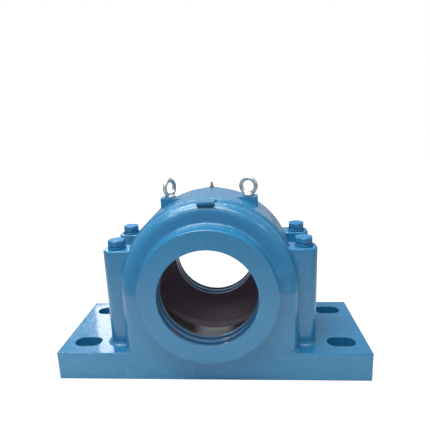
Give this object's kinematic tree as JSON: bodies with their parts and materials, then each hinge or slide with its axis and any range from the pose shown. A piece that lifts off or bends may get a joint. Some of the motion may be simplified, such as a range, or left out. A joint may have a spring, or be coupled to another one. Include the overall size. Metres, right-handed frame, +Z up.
{
  "type": "split plummer block",
  "caption": "Split cast plummer block housing with a slotted foot, a bolted cap with lifting eyes and a large empty shaft opening.",
  "frame": {"origin": "centre of the foot's underside", "axes": "+X along the long side of the foot, +Y along the shaft line towards the grease nipple's end, +Z up"},
  "size_m": [0.7, 0.304, 0.437],
  "materials": {
    "enamel": "semi-gloss blue enamel over rough-cast and machined grey iron",
    "zinc_plate": "bright zinc plate on forged steel",
    "nipple_steel": "dull plated turned steel",
    "bare_steel": "ground bare steel"
  },
  "bodies": {
    "root": {"housing_base": "enamel", "housing_cap": "enamel", "cap_bolt_front_left": "enamel", "cap_bolt_front_right": "enamel", "cap_bolt_rear_left": "enamel", "cap_bolt_rear_right": "enamel", "spring_washer_front_left": "enamel", "spring_washer_front_right": "enamel", "spring_washer_rear_left": "enamel", "spring_washer_rear_right": "enamel", "eye_bolt_left": "zinc_plate", "eye_bolt_right": "zinc_plate", "grease_nipple_body": "nipple_steel", "grease_nipple_ball": "bare_steel", "grease_nipple_spring": "bare_steel", "dowel_pin_left": "bare_steel", "dowel_pin_right": "bare_steel"}
  },
  "joints": []
}
